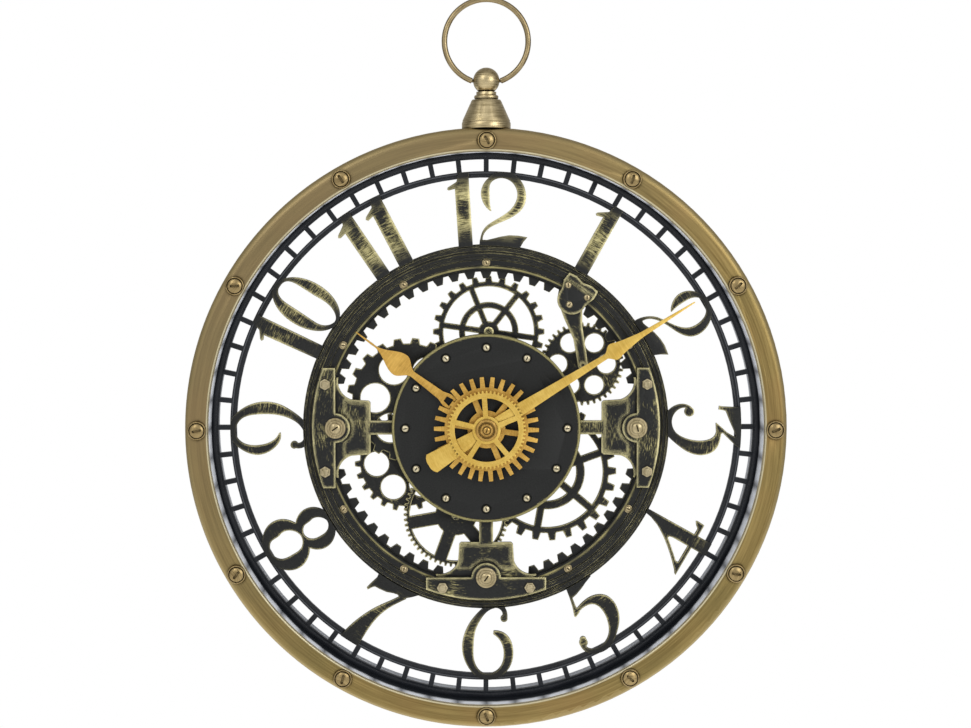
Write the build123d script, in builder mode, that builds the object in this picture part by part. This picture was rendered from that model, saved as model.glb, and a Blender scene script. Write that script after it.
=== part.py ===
"""Skeleton wall clock shaped like an open pocket watch, in millimetres.

+Z is up, +X is to the viewer's right and -Y faces the viewer. The wall is the plane
y = 0, and the origin is the entry hole of the keyhole hanger. Clock angles are in
degrees, clockwise from 12 as the viewer reads the dial.
"""

import os
from math import cos, radians, sin

from build123d import *

# Overall
HANGER_R = 258.0  # keyhole entry, below the top of the bezel
DIAL_Z = -HANGER_R
SLIP = 0.15  # assembly gap between nested fixed pieces
RUN = 0.05  # radial running clearance of shafts

# Bezel, a hollow spun ring open at the back
BEZEL_R = 270.3
BEZEL_INNER_R = 249.5
BEZEL_DEPTH = 45.0
BEZEL_WALL = 1.4
SHEET = 1.2  # thickness of the ledge
BEZEL_FLAT_R = 262.8
BEZEL_SIDE_Y = -37.5
BEZEL_SCREW_R = 258.9
BEZEL_BACK_Y = -BEZEL_DEPTH + BEZEL_WALL  # inside of the front wall
SPACER_R = 3.5
LEDGE_R = 243.6  # inner edge of the ledge behind the minute track

# Dial layers, as depths in front of the wall
TRACK_FRONT = -22.0
TRACK_BACK = -18.0
NUMERAL_FRONT = -25.2
BRIDGE_FRONT = -25.0
BRIDGE_BACK = -22.0
STRAP_FRONT = -28.4
DISK_FRONT = -31.0
DISK_BACK = -28.0

# Minute track and frame ring
TRACK_R = 249.2
WINDOW_OUTER_R = 242.6
WINDOW_INNER_R = 232.0
TRACK_INNER_R = 226.2
TRACK_BAR = 4.5
FRAME_R = 166.1
FRAME_INNER_R = 143.2
FRAME_SCREW_R = 149.4
TOOTH_ROOT_R = 141.2
TOOTH_TIP_R = 135.0

# Display gears stand on the carrier plate in two layers
CARRIER_BACK = -9.5
CARRIER_FRONT = -11.5
REAR_GEAR_FRONT = -14.4
FRONT_GEAR_BACK = -15.4
FRONT_GEAR_FRONT = -18.3
GEAR_CUT_R = 52.0  # the gears are cut away round the movement

# Centre disk and hands
DISK_R = 85.3
DISK_RIM_R = 82.9
DISK_SCREW_R = 73.2
MINUTE_ANGLE = 58.4
HOUR_ANGLE = 306.8
HOUR_GEAR_BACK = -36.5
HOUR_GEAR_FRONT = -38.0
MINUTE_HAND_BACK = -41.1
MINUTE_HAND_FRONT = -42.3
MINUTE_WHEEL_FRONT = -43.5

# Movement
CASE_SIZE = 56.0
CASE_BACK = -11.5
CASE_WALL = 1.5
BUSHING_R = 5.0
HOUR_TUBE_R = 3.5
ARBOR_R = 1.8
SET_OFFSET = 12.0  # centre distance of the motion work

# Crown and bow
CROWN_Y = -22.5
BALL_R = 11.9
BALL_Z = DIAL_Z + 312.9
BOW_R = 37.6
BOW_TUBE_R = 2.55
BOW_Z = DIAL_Z + 348.2
BOW_END_X = 13.0
BOW_PIN_R = 1.5

os.makedirs("parts", exist_ok=True)


# ---------------------------------------------------------------- helpers


def dial_plane(y, angle=0.0):
    """A plane facing the viewer at depth y, with its own +Y along this clock angle."""
    turn = radians(angle)
    return Plane(origin=(0, y, DIAL_Z), x_dir=(cos(turn), 0, -sin(turn)), z_dir=(0, -1, 0))


def clock_point(radius, angle):
    """A point of the dial plane at this radius and clock angle."""
    return (radius * sin(radians(angle)), radius * cos(radians(angle)))


def spot(y, radius, angle, turn=0.0):
    """The place of a fastener: its own +Z faces the viewer, at depth y."""
    return dial_plane(y, angle).location * Location((0, radius, 0), (0, 0, turn))


def finish(piece, label):
    """Label a finished piece and write it."""
    piece.part.label = label
    export_step(piece.part, f"parts/{label}.step")


def outline(points):
    """A flat face with straight edges."""
    with BuildSketch() as face:
        with BuildLine():
            Polyline(*points, close=True)
        make_face()
    return face.sketch


def closed_curve(points):
    """A flat face inside one smooth closed curve."""
    with BuildSketch() as face:
        with BuildLine():
            Spline(*points, periodic=True)
        make_face()
    return face.sketch


def stroke(left, right):
    """A flat face between two smooth edges, closed by straight ends."""
    with BuildSketch() as face:
        with BuildLine():
            one = Spline(*left) if len(left) > 2 else Line(*left)
            two = Spline(*right) if len(right) > 2 else Line(*right)
            Line(one @ 0, two @ 0)
            Line(one @ 1, two @ 1)
        make_face()
    return face.sketch


def toothed_disk(teeth, root, tip, root_share, tip_share, phase=0.0):
    """A disk with trapezoid teeth; the shares are of one pitch, the phase in degrees."""
    pitch = 360 / teeth
    points = []
    for number in range(teeth):
        middle = phase + number * pitch
        for radius, offset in (
            (root, -root_share / 2),
            (tip, -tip_share / 2),
            (tip, tip_share / 2),
            (root, root_share / 2),
        ):
            points.append(clock_point(radius, middle + offset * pitch))
    return outline(points)


def spokes(count, width, length, phase):
    """Straight spokes from the centre out."""
    with BuildSketch() as arms:
        for number in range(count):
            with Locations(Location((0, 0, 0), (0, 0, -phase - number * 360 / count))):
                Rectangle(width, length, align=(Align.CENTER, Align.MIN))
    return arms.sketch


def turned(profile):
    """A piece turned about +Z from (radius, height) points."""
    with BuildPart() as piece:
        with BuildSketch(Plane.XZ):
            with BuildLine():
                Polyline(*profile, close=True)
            make_face()
        revolve(axis=Axis.Z)
    return piece.part


def slotted_screw(head_r, head_height, edge_height, shank_r, shank_length, slot_width):
    """A domed screw seated on z = 0 with its head up, and a short closed slot in the dome."""
    with BuildPart() as screw:
        with BuildSketch(Plane.XZ):
            with BuildLine():
                Polyline(
                    (0, head_height),
                    (0, -shank_length),
                    (shank_r, -shank_length),
                    (shank_r, 0),
                    (head_r, 0),
                    (head_r, edge_height),
                )
                TangentArc((0, head_height), (head_r, edge_height), tangent=(1, 0))
            make_face()
        revolve(axis=Axis.Z)
        with BuildSketch(Plane.XY.offset(head_height)):
            SlotOverall(1.3 * head_r, slot_width)
        extrude(amount=-0.75 * head_height, mode=Mode.SUBTRACT)
    return screw.part


def washer(outer, inner, thickness):
    """A flat washer on z = 0 with its upper edge broken."""
    edge = 0.35 * thickness
    return turned(
        [(inner, 0), (outer, 0), (outer, thickness - edge), (outer - edge, thickness), (inner, thickness)]
    )


def plate(sketch, y_back, y_front, angle=0.0):
    """A flat plate between two depths, cut from this sketch."""
    with BuildPart() as piece:
        with BuildSketch(dial_plane(y_back, angle)):
            add(sketch)
        extrude(amount=y_back - y_front)
    return piece.part


def dial_ring(profile):
    """A ring about the dial axis, turned from (radius, y) points."""
    with BuildPart() as piece:
        with BuildSketch(Plane(origin=(0, 0, DIAL_Z), x_dir=(1, 0, 0), z_dir=(0, 0, 1))):
            with BuildLine():
                Polyline(*profile, close=True)
            make_face()
        revolve(axis=Axis((0, 0, DIAL_Z), (0, 1, 0)))
    return piece.part


def rod(radius, y_back, y_front, x=0.0, z=0.0):
    """A round rod along the dial axis direction, offset from the dial centre."""
    with BuildPart() as piece:
        with BuildSketch(dial_plane(y_back)):
            with Locations((x, z)):
                Circle(radius)
        extrude(amount=y_back - y_front)
    return piece.part


def screw_holes(radius, places, y_back, y_front):
    """Round holes along the dial axis at (radius, clock angle) places, to be subtracted."""
    with BuildPart() as holes:
        with BuildSketch(dial_plane(y_back)):
            with Locations(*[clock_point(r, angle) for r, angle in places]):
                Circle(radius)
        extrude(amount=y_back - y_front)
    return holes.part


# ---------------------------------------------------------------- bezel

BEZEL_SCREW_SHANK = 2.5
BACK_SCREW_SHANK = 1.5
RETAIN_Y = -3.6  # front of the back ring
PLATE_Y = -1.6  # front of the hanger plate, back of the back ring
BEZEL_ANGLES = [number * 30 for number in range(12)]
BACK_ANGLES = BEZEL_ANGLES[1:]
CROWN_STUD_R = 2.5

with BuildPart() as bezel:
    with BuildSketch(Plane(origin=(0, 0, DIAL_Z), x_dir=(1, 0, 0), z_dir=(0, 0, 1))):
        with BuildLine():
            Polyline(
                (BEZEL_R, BEZEL_SIDE_Y),
                (BEZEL_R, 0),
                (BEZEL_R - BEZEL_WALL, 0),
                (BEZEL_R - BEZEL_WALL, BEZEL_SIDE_Y + 1),
                (BEZEL_FLAT_R - 0.3, BEZEL_BACK_Y),
                (BEZEL_INNER_R, BEZEL_BACK_Y),
                (BEZEL_INNER_R, -BEZEL_DEPTH + 0.9),
                (BEZEL_INNER_R + 0.9, -BEZEL_DEPTH),
                (BEZEL_FLAT_R, -BEZEL_DEPTH),
            )
            TangentArc((BEZEL_FLAT_R, -BEZEL_DEPTH), (BEZEL_R, BEZEL_SIDE_Y), tangent=(1, 0))
        make_face()
    revolve(axis=Axis((0, 0, DIAL_Z), (0, 1, 0)))
    add(
        screw_holes(BEZEL_SCREW_SHANK, [(BEZEL_SCREW_R, a) for a in BEZEL_ANGLES], -40, -BEZEL_DEPTH - 1),
        mode=Mode.SUBTRACT,
    )
    with BuildSketch(Plane.XY.offset(DIAL_Z + BEZEL_R - 6)):
        with Locations((0, CROWN_Y)):
            Circle(CROWN_STUD_R)
    extrude(amount=8, mode=Mode.SUBTRACT)
finish(bezel, "bezel")

# threaded spacers inside the bezel take the front screws and the back screws
with BuildPart() as spacers:
    with BuildSketch(dial_plane(RETAIN_Y)):
        with Locations(*[clock_point(BEZEL_SCREW_R, angle) for angle in BACK_ANGLES]):
            Circle(SPACER_R)
    extrude(amount=RETAIN_Y - BEZEL_BACK_Y)
    # the top one is short, to leave room for the crown's nut and the wall screw
    with BuildSketch(dial_plane(-29.0)):
        with Locations(clock_point(BEZEL_SCREW_R, 0)):
            Circle(SPACER_R)
    extrude(amount=-29.0 - BEZEL_BACK_Y)
    add(
        screw_holes(BEZEL_SCREW_SHANK, [(BEZEL_SCREW_R, a) for a in BEZEL_ANGLES], -33, -BEZEL_DEPTH - 1),
        mode=Mode.SUBTRACT,
    )
    add(
        screw_holes(BACK_SCREW_SHANK, [(BEZEL_SCREW_R, a) for a in BACK_ANGLES], 0, -15),
        mode=Mode.SUBTRACT,
    )
finish(spacers, "spacers")

# the sleeve closes the bezel on the inside, and its ledge carries the minute track
with BuildPart() as bezel_sleeve:
    add(
        dial_ring(
            [
                (BEZEL_INNER_R, BEZEL_BACK_Y),
                (BEZEL_INNER_R + BEZEL_WALL, BEZEL_BACK_Y),
                (BEZEL_INNER_R + BEZEL_WALL, 0),
                (BEZEL_INNER_R, 0),
                (BEZEL_INNER_R, TRACK_BACK + SHEET),
                (LEDGE_R + SHEET, TRACK_BACK + SHEET),
                (LEDGE_R + SHEET, -5),
                (LEDGE_R, -5),
                (LEDGE_R, TRACK_BACK),
                (BEZEL_INNER_R, TRACK_BACK),
            ]
        )
    )
finish(bezel_sleeve, "bezel_sleeve")

BEZEL_WASHER_T = 0.9
SLOT_TURNS = [117, 104, 100, 110, 110, 108, 112, 106, 114, 101, 123, 94]  # by hour, from 12 on

with BuildPart() as bezel_washers:
    cup = turned(
        [(2.7, 0), (8.5, 0), (8.5, 1.1), (7.9, 1.9), (7.2, 1.9), (6.8, BEZEL_WASHER_T), (2.7, BEZEL_WASHER_T)]
    )
    with Locations(*[spot(-BEZEL_DEPTH, BEZEL_SCREW_R, angle) for angle in BEZEL_ANGLES]):
        add(cup)
finish(bezel_washers, "bezel_washers")

with BuildPart() as bezel_screws:
    big_screw = slotted_screw(6.4, 3.0, 1.2, BEZEL_SCREW_SHANK, 11, 2.3)
    seat = -BEZEL_DEPTH - BEZEL_WASHER_T
    places = zip(BEZEL_ANGLES, SLOT_TURNS)
    with Locations(*[spot(seat, BEZEL_SCREW_R, angle, turn) for angle, turn in places]):
        add(big_screw)
finish(bezel_screws, "bezel_screws")

with BuildPart() as bezel_liner:
    add(
        dial_ring(
            [
                (BEZEL_INNER_R - 0.1, TRACK_FRONT),
                (BEZEL_INNER_R - 0.1, -BEZEL_DEPTH + 1.3),
                (BEZEL_INNER_R - 0.8, -BEZEL_DEPTH + 1.3),
                (BEZEL_INNER_R - 1.1, TRACK_FRONT),
            ]
        )
    )
finish(bezel_liner, "bezel_liner")

HANGER_SCREW_X = 16.0
KEYHOLE_R = 3.8
KEYHOLE_SLOT_R = 2.0
KEYHOLE_RISE = 5.0

with BuildPart() as back_ring:
    with BuildSketch(dial_plane(PLATE_Y)):
        Circle(BEZEL_R - BEZEL_WALL - SLIP)
        Circle(BEZEL_INNER_R + BEZEL_WALL + SLIP, mode=Mode.SUBTRACT)
        with Locations(*[clock_point(BEZEL_SCREW_R, angle) for angle in BACK_ANGLES]):
            Circle(BACK_SCREW_SHANK, mode=Mode.SUBTRACT)
        # open at the top, behind the keyhole
        with Locations((0, HANGER_R)):
            Rectangle(13, 60, mode=Mode.SUBTRACT)
        with Locations((-HANGER_SCREW_X, HANGER_R + 1), (HANGER_SCREW_X, HANGER_R + 1)):
            Circle(1.4, mode=Mode.SUBTRACT)
    extrude(amount=PLATE_Y - RETAIN_Y)
finish(back_ring, "back_ring")

with BuildPart() as hanger_plate:
    with BuildSketch(dial_plane(0)):
        with Locations((0, HANGER_R + 1.5)):
            RectangleRounded(44, 15, 3)
        with Locations((0, HANGER_R)):
            Circle(KEYHOLE_R, mode=Mode.SUBTRACT)
        with Locations((0, HANGER_R + KEYHOLE_RISE / 2)):
            SlotOverall(KEYHOLE_RISE + 2 * KEYHOLE_SLOT_R, 2 * KEYHOLE_SLOT_R, rotation=90, mode=Mode.SUBTRACT)
        with Locations((-HANGER_SCREW_X, HANGER_R + 1), (HANGER_SCREW_X, HANGER_R + 1)):
            Circle(1.4, mode=Mode.SUBTRACT)
    extrude(amount=-PLATE_Y)
    for side in (-1, 1):
        with Locations(
            Plane(origin=(side * HANGER_SCREW_X, -0.6, 1), z_dir=(0, 1, 0)).location
        ):
            Cone(1.4, 2.6, 1.2, mode=Mode.SUBTRACT)
finish(hanger_plate, "hanger_plate")

# the back ring's pan screws and the hanger plate's two flush screws
with BuildPart() as back_screws:
    small_pan = slotted_screw(2.8, 1.4, 0.5, BACK_SCREW_SHANK, 12, 0.8)
    for angle in BACK_ANGLES:
        across, up = clock_point(BEZEL_SCREW_R, angle)
        with Locations(Plane(origin=(across, PLATE_Y, DIAL_Z + up), z_dir=(0, 1, 0)).location):
            add(small_pan)
    flush_screw = turned([(0, 0), (0, -8), (1.4, -8), (1.4, -1.2), (2.6, 0)])
    for side in (-1, 1):
        with Locations(Plane(origin=(side * HANGER_SCREW_X, 0, 1), z_dir=(0, 1, 0)).location):
            add(flush_screw)
            Box(0.7, 6, 1.0, mode=Mode.SUBTRACT)
finish(back_screws, "back_screws")

# ---------------------------------------------------------------- crown and bow


def crown_turned(profile):
    """A crown piece turned about the vertical crown axis from (radius, height) points."""
    with BuildPart() as piece:
        with BuildSketch(Plane(origin=(0, CROWN_Y, DIAL_Z), x_dir=(1, 0, 0), z_dir=(0, -1, 0))):
            with BuildLine():
                Polyline(*profile, close=True)
            make_face()
        revolve(axis=Axis((0, CROWN_Y, DIAL_Z), (0, 0, 1)))
    return piece.part


with BuildPart() as crown_base:
    add(
        crown_turned(
            [
                (CROWN_STUD_R, 266),
                (22, 266),
                (22, 275),
                (21.3, 276.2),
                (21.5, 277),
                (13.4, 295),
                (12.6, 296),
                (10.4, 296),
                (10.2, 296.6),
                (10.9, 297.2),
                (10.9, 299.2),
                (10.2, 299.9),
                (9, 300.3),
                (9, 303),
                (CROWN_STUD_R, 303),
            ]
        )
    )
    with BuildSketch(dial_plane(1)):
        Circle(BEZEL_R + 0.02)
    extrude(amount=BEZEL_DEPTH + 2, mode=Mode.SUBTRACT)
finish(crown_base, "crown_base")

with BuildPart() as crown_ball:
    with Locations((0, CROWN_Y, BALL_Z)):
        Sphere(BALL_R)
    with BuildSketch(Plane.XY.offset(BALL_Z - BALL_R - 1)):
        with Locations((0, CROWN_Y)):
            Rectangle(30, 30)
    extrude(amount=DIAL_Z + 303 - (BALL_Z - BALL_R - 1), mode=Mode.SUBTRACT)
    with BuildSketch(Plane.XY.offset(DIAL_Z + 302)):
        with Locations((0, CROWN_Y)):
            Circle(CROWN_STUD_R)
    extrude(amount=7, mode=Mode.SUBTRACT)
    for side in (-1, 1):
        with BuildSketch(Plane.YZ.offset(side * 13)):
            with Locations((CROWN_Y, BALL_Z)):
                Circle(BOW_PIN_R + RUN)
        extrude(amount=-side * 6, mode=Mode.SUBTRACT)
finish(crown_ball, "crown_ball")

with BuildPart() as crown_stud:
    with BuildSketch(Plane.XY.offset(DIAL_Z + BEZEL_R - 6.3)):
        with Locations((0, CROWN_Y)):
            Circle(CROWN_STUD_R)
    extrude(amount=DIAL_Z + 308.5 - (DIAL_Z + BEZEL_R - 6.3))
    with BuildSketch(Plane.XY.offset(DIAL_Z + BEZEL_R - 5.8)):
        with Locations((0, CROWN_Y)):
            RegularPolygon(4.6, 6)
    extrude(amount=3.4)
finish(crown_stud, "crown_stud")

with BuildPart() as bow:
    with BuildLine(Plane(origin=(0, CROWN_Y, BOW_Z), x_dir=(1, 0, 0), z_dir=(0, -1, 0))) as bow_path:
        end_z = -((BOW_R**2 - BOW_END_X**2) ** 0.5)
        ThreePointArc((-BOW_END_X, end_z), (0, BOW_R), (BOW_END_X, end_z))
    with BuildSketch(Plane(origin=bow_path.line @ 0, z_dir=bow_path.line % 0)):
        Circle(BOW_TUBE_R)
    sweep(path=bow_path.line)
    for side in (-1, 1):
        with BuildSketch(Plane.YZ.offset(side * 9)):
            with Locations((CROWN_Y, BALL_Z)):
                Circle(BOW_PIN_R)
        extrude(amount=side * 7.2, mode=Mode.SUBTRACT)
finish(bow, "bow")

with BuildPart() as bow_pins:
    for side in (-1, 1):
        with BuildSketch(Plane.YZ.offset(side * 7.6)):
            with Locations((CROWN_Y, BALL_Z)):
                Circle(BOW_PIN_R)
        extrude(amount=side * 8.6)
finish(bow_pins, "bow_pins")

# ---------------------------------------------------------------- minute track

with BuildPart() as minute_track:
    with BuildSketch(dial_plane(TRACK_BACK)):
        Circle(TRACK_R)
        Circle(WINDOW_OUTER_R, mode=Mode.SUBTRACT)
        Circle(WINDOW_INNER_R)
        Circle(TRACK_INNER_R, mode=Mode.SUBTRACT)
        with PolarLocations((WINDOW_OUTER_R + WINDOW_INNER_R) / 2, 60):
            Rectangle(WINDOW_OUTER_R - WINDOW_INNER_R + 0.4, TRACK_BAR)
    extrude(amount=TRACK_BACK - TRACK_FRONT)
    add(
        dial_ring([(228.4, TRACK_FRONT + 0.8), (229.8, TRACK_FRONT + 0.8), (230.2, -23), (228.0, -23)]),
        mode=Mode.SUBTRACT,
    )
    add(
        dial_ring([(244.0, TRACK_FRONT + 0.5), (245.0, TRACK_FRONT + 0.5), (245.3, -23), (243.7, -23)]),
        mode=Mode.SUBTRACT,
    )
finish(minute_track, "minute_track")

# ---------------------------------------------------------------- numerals

# Each figure is drawn in millimetres with its dial ray as the vertical: the first number
# runs to the reader's right of the ray, the second is the distance from the dial centre.
# A stroke lies between two smooth edges; the figures run on to the track and frame ring.
NUMERAL_INNER_R = 164.8
NUMERAL_OUTER_R = WINDOW_INNER_R - 0.4


def one_figure(left, right, top, flag):
    """A figure 1: a tapered stem, a narrower top and a flag at the left."""
    return [
        ("outline", [left[0], left[1], top[0], top[1], right[1], right[0]]),
        ("outline", flag),
    ]


NUMERALS = {
    12: one_figure(
        [(-24.8, 162), (-28.4, 217)],
        [(-11.9, 162), (-15.4, 218)],
        [(-23.9, 234), (-16.2, 234)],
        [(-23.5, 224.5), (-34.8, 217.2), (-35.3, 215.4), (-33.8, 214.4), (-28, 216), (-20, 215)],
    )
    + [
        (
            "stroke",
            [(4.6, 196), (3.3, 203), (3.0, 212), (4.0, 221), (9, 224.8), (16, 225.4), (23, 222), (28, 212),
             (25.5, 202), (18, 194), (5.7, 186.5), (-2, 180), (-5.4, 171), (-6.4, 162)],
            [(3.6, 196), (-2.5, 203), (-4.8, 212), (-2.2, 221), (4, 227.5), (14.5, 232), (26, 228.5), (35.8, 211),
             (33.6, 199.8), (25, 191.5), (10.7, 184.8), (2, 180), (-2.2, 175), (-3.2, 170)],
        ),
        ("outline", [(-5.8, 170.2), (0.7, 170), (5.7, 171.1), (12.3, 172.8), (20.7, 174.2), (29, 173.8),
                     (37.2, 172.4), (33.6, 168.2), (30, 162), (-6.4, 162)]),
    ],
    1: one_figure(
        [(-3.2, 163), (-3.9, 217)],
        [(9.9, 163), (9.1, 218)],
        [(1.4, 234), (8.7, 234)],
        [(1.6, 226.5), (-10.2, 219), (-11.2, 217.2), (-9.8, 215.9), (-3.8, 217.6), (4, 216)],
    ),
    2: [
        (
            "stroke",
            [(-6.9, 197.5), (-8.7, 205), (-9.2, 212), (-8.4, 221), (-5, 225.8), (1.5, 227), (8.6, 225), (14.2, 214),
             (13.1, 204), (8, 197), (0.2, 191), (-9.4, 184), (-15, 175), (-16.5, 164)],
            [(-7.6, 197.5), (-14, 203), (-17.6, 212), (-14.8, 222.3), (-8.5, 228.5), (2, 232.4), (13.5, 228),
             (23, 211), (21.8, 203), (15, 195.2), (6.8, 190.7), (-5.7, 183.6), (-11.6, 177), (-13, 171)],
        ),
        ("outline", [(-15.6, 171), (-10.7, 170.5), (-4.8, 172.8), (1.8, 175.2), (9.3, 176.9), (16, 177.4),
                     (25.3, 176), (21.6, 170), (19, 164), (-16.5, 164)]),
    ],
    3: [
        ("outline", [(-18.4, 234), (-18.4, 224), (-18.8, 215), (-19.4, 211.4), (-16.1, 211), (-15.6, 214.5),
                     (-14.7, 217.4), (-12.6, 218.4), (-5.9, 221), (1.6, 224.4), (8.2, 227), (9, 226), (20, 234)]),
        ("outline", [(9.2, 226.4), (4.9, 219), (0.7, 214.4), (-3.9, 209.2), (-3.6, 208.5), (6, 209), (6.2, 213.2),
                     (5.3, 214.9), (8.7, 218.2), (17.2, 227), (20, 234), (8, 234)]),
        (
            "stroke",
            [(4.5, 208.8), (8, 207.4), (11.6, 201.5), (12.4, 192), (9.9, 180.7), (3.7, 171.5), (-6.7, 168.6),
             (-13.5, 171.5), (-17, 176), (-17.5, 182)],
            [(5.8, 213.4), (12, 212.3), (19.9, 208.6), (25.4, 197), (23.4, 185), (15, 172.3), (-2, 160),
             (-18, 168.5), (-21.2, 178), (-18.6, 186)],
        ),
        ("disc", -14.2, 184.3, 4.4),
    ],
    4: [
        ("outline", [(9.3, 163), (10.2, 234), (-2.1, 234), (-2.4, 197), (-3.2, 194.2), (-4.8, 193.8), (-2, 187),
                     (0.7, 179.2), (4, 170.8), (5.4, 163)]),
        ("stroke", [(0.7, 179.2), (-4.3, 187.5), (-17.7, 204.2), (-30, 216.2)],
                   [(-2, 190), (-4.8, 193.8), (-14.3, 205), (-22, 213.6)]),
        ("outline", [(-31, 217), (-30, 215.6), (-20, 208.6), (-19.3, 213.4), (15.5, 213.4), (18.2, 210.4),
                     (21.2, 208.3), (21.9, 210), (21.5, 217)]),
    ],
    5: [
        ("outline", [(-10.6, 163), (-12.2, 173.3), (-14.3, 182.5), (-16.9, 190.2), (-16, 191.5), (-13.5, 190.4),
                     (-10.5, 189), (-11.2, 183.3), (-10.6, 179.2), (-9.8, 174.6), (-5.2, 173.6), (2.3, 170.8),
                     (7.3, 168.3), (14.5, 165.5), (14.5, 163)]),
        (
            "stroke",
            [(-13.5, 190.4), (-4.3, 187.1), (4.2, 189.5), (8, 198), (7.2, 209), (2.75, 219.2), (-6, 225.3),
             (-14, 225.7), (-20, 222.3), (-21.2, 218)],
            [(-11.5, 185.2), (-1, 182.1), (8, 182.3), (17.3, 187.5), (21.3, 199.2), (18.6, 211), (10, 222),
             (-8, 231.5), (-24, 223.5), (-25.5, 216)],
        ),
        ("disc", -21.7, 215.4, 3.9),
        ("disc", -20.6, 212.8, 3.0),
    ],
    6: [
        (
            "stroke",
            [(8, 165.3), (1.9, 167.9), (-5, 176), (-9.5, 185.5), (-11.4, 201), (-9.8, 216.7), (-3, 224.8),
             (5, 225.2), (12.7, 220), (16.1, 209), (14, 197.5), (6.5, 189.3)],
            [(4, 160), (-5.2, 167.5), (-13.9, 177.5), (-20, 190), (-21.8, 203), (-17, 218.5), (-6, 229.5),
             (6, 231), (18.5, 224), (24.9, 206), (20.5, 192), (6.9, 186.2)],
        ),
        ("stroke", [(8, 165.2), (12, 166), (14.6, 169), (14.6, 173)],
                   [(8, 160), (15, 162.5), (18.9, 168.5), (19.4, 174.5)]),
        ("disc", 16.4, 174.9, 3.2),
    ],
    7: [
        ("outline", [(-17.9, 163), (-17.5, 168.3), (-19.8, 175.8), (-21, 180.8), (-19.3, 181.8), (-16.7, 177.9),
                     (-15, 176.2), (-10, 176.1), (-3.3, 175.4), (2.5, 173.3), (6.7, 172.5), (9.2, 174),
                     (12, 174), (19.2, 167.9), (24, 163)]),
        ("stroke", [(9.0, 173), (4.2, 180), (-4.2, 191.7), (-11.5, 205), (-16.6, 218), (-20, 234)],
                   [(15.5, 172), (10, 180), (3.75, 191.7), (0, 205.8), (-1.0, 218), (-1.3, 234)]),
    ],
    8: [
        ("oval", 2.0, 180.2, 19.9, 17.7),
        ("oval", 1.7, 210.8, 24.2, 20.6),
        ("counter", [(-6.5, 179.7), (-5.2, 172.2), (1.9, 167.5), (9, 172.2), (10.3, 179.7), (9, 187.2),
                     (1.9, 191.9), (-5.2, 187.2)]),
        ("counter", [(-9, 210.6), (-7.4, 200.3), (1.75, 195), (10.9, 200.3), (12.5, 210.6), (10.9, 221),
                     (1.75, 226.2), (-7.4, 221)]),
    ],
    9: [
        (
            "stroke",
            [(-5, 187.8), (-10.4, 191.6), (-14, 197.9), (-16, 208), (-13.8, 220), (-6.8, 226.4), (1, 226.3),
             (8.6, 220.5), (12.2, 207), (11.7, 188.9), (8.1, 177.1), (-0.5, 166.7), (-8.6, 164.9), (-13, 167.5),
             (-13.6, 172)],
            [(-4.3, 186.3), (-11.3, 186.6), (-20.3, 194.3), (-24.6, 207), (-20.3, 220.5), (-10, 230.5),
             (5, 231.5), (17.6, 220.5), (23.4, 204), (21.6, 188), (15, 175.6), (4, 163), (-8, 158), (-17, 164),
             (-18.6, 172)],
        ),
        ("disc", -15.5, 173.8, 3.5),
    ],
    10: one_figure(
        [(-22.2, 162), (-27.6, 216)],
        [(-9.3, 162), (-13.4, 218)],
        [(-21.4, 234), (-14.6, 234)],
        [(-21, 225), (-32.2, 217.2), (-33.2, 215.2), (-31.4, 214.2), (-27.4, 216), (-18, 215)],
    )
    + [
        ("oval", 15.8, 196.8, 20.7, 33),
        ("counter", [(18, 225.4), (25.3, 221.5), (27, 210), (26.3, 192), (24.2, 175), (16, 166.7), (7.6, 172.5),
                     (5.9, 186), (7.4, 209), (10.1, 221.5)]),
    ],
    11: one_figure(
        [(-18.1, 162), (-22.3, 216)],
        [(-4.7, 162), (-8.6, 218)],
        [(-17.4, 234), (-9.8, 234)],
        [(-17, 225.5), (-28.8, 217.2), (-29.8, 215.2), (-28, 214.1), (-22.2, 215.6), (-14, 215)],
    )
    + one_figure(
        [(5.0, 162), (7.3, 217)],
        [(18.7, 162), (21.2, 218)],
        [(13.8, 234), (21.6, 234)],
        [(14.2, 226.3), (1.2, 219), (0, 217.2), (1.4, 215.2), (7.2, 216.6), (15, 216)],
    ),
}
TOPS_INWARD = range(4, 9)  # these read from below, so their tops point at the dial centre


def numeral_sketch(figure, mirror):
    """The outline of one numeral, trimmed where it laps on to the two rings."""
    with BuildSketch() as face:
        for kind, *data in figure:
            if kind == "stroke":
                add(stroke(*[[(mirror * u, v) for u, v in edge] for edge in data]))
            if kind == "outline":
                add(outline([(mirror * u, v) for u, v in data[0]]))
            if kind == "disc":
                with Locations((mirror * data[0], data[1])):
                    Circle(data[2])
            if kind == "oval":
                with Locations((mirror * data[0], data[1])):
                    Ellipse(data[2], data[3])
        for kind, *data in figure:
            if kind == "counter":
                add(closed_curve([(mirror * u, v) for u, v in data[0]]), mode=Mode.SUBTRACT)
        Circle(NUMERAL_OUTER_R, mode=Mode.INTERSECT)
        Circle(NUMERAL_INNER_R, mode=Mode.SUBTRACT)
    return face.sketch


for hour, figure in NUMERALS.items():
    with BuildPart() as numeral:
        with BuildSketch(dial_plane(TRACK_FRONT, hour * 30)):
            add(numeral_sketch(figure, -1 if hour in TOPS_INWARD else 1))
        extrude(amount=TRACK_FRONT - NUMERAL_FRONT)
    finish(numeral, f"numeral_{hour}")

# ---------------------------------------------------------------- frame ring

FRAME_SCREW_SHANK = 1.2
FRAME_SCREW_Y = -23.0
FRAME_SCREW_ANGLES = [0, 60, 120, 150, 210, 240, 300, 330]
SHIELD_ANGLE = 33.7
SHIELD_BACK = -24.8
SHIELD_FRONT = -27.0
SHIELD_SCREWS = [(149.0, 29.8), (149.0, 37.6), (134.5, 33.9)]
BRIDGE_ANGLES = [90, 180, 270]
STRAP_SCREW_R = 136.5
STUD_X = 39.7
STUD_R = 145.6

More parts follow.
